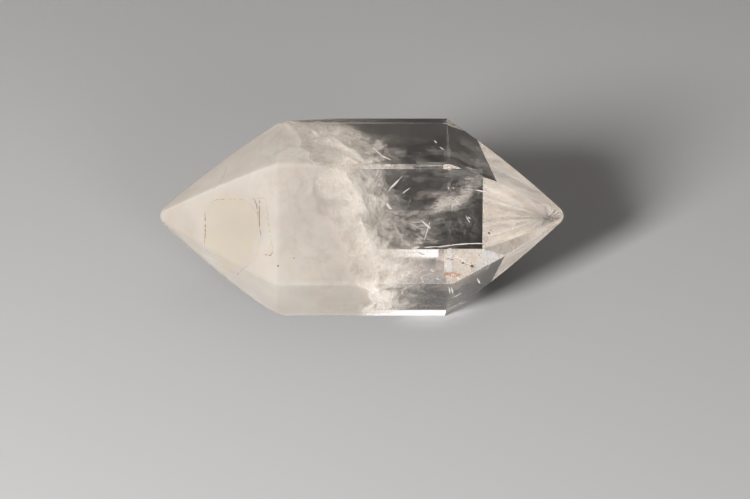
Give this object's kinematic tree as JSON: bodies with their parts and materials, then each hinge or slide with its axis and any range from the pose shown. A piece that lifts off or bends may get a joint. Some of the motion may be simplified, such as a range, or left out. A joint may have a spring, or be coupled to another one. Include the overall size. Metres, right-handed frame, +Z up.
{
  "type": "double terminated quartz crystal",
  "caption": "Polished quartz crystal with a point at each end, lying on a side face: clear glassy point at one end, milky cloud and veils at the other. A display stone.",
  "frame": {"origin": "middle of the stone's bounding box, on the surface that it lies on", "axes": "+X along the crystal's long axis towards its clear point, +Z up out of the surface, -Y towards the viewer"},
  "size_m": [0.0902, 0.0454, 0.035],
  "materials": {
    "quartz": "polished natural quartz, clear at one end and milky at the other"
  },
  "bodies": {
    "root": {"quartz_crystal": "quartz"}
  },
  "joints": []
}
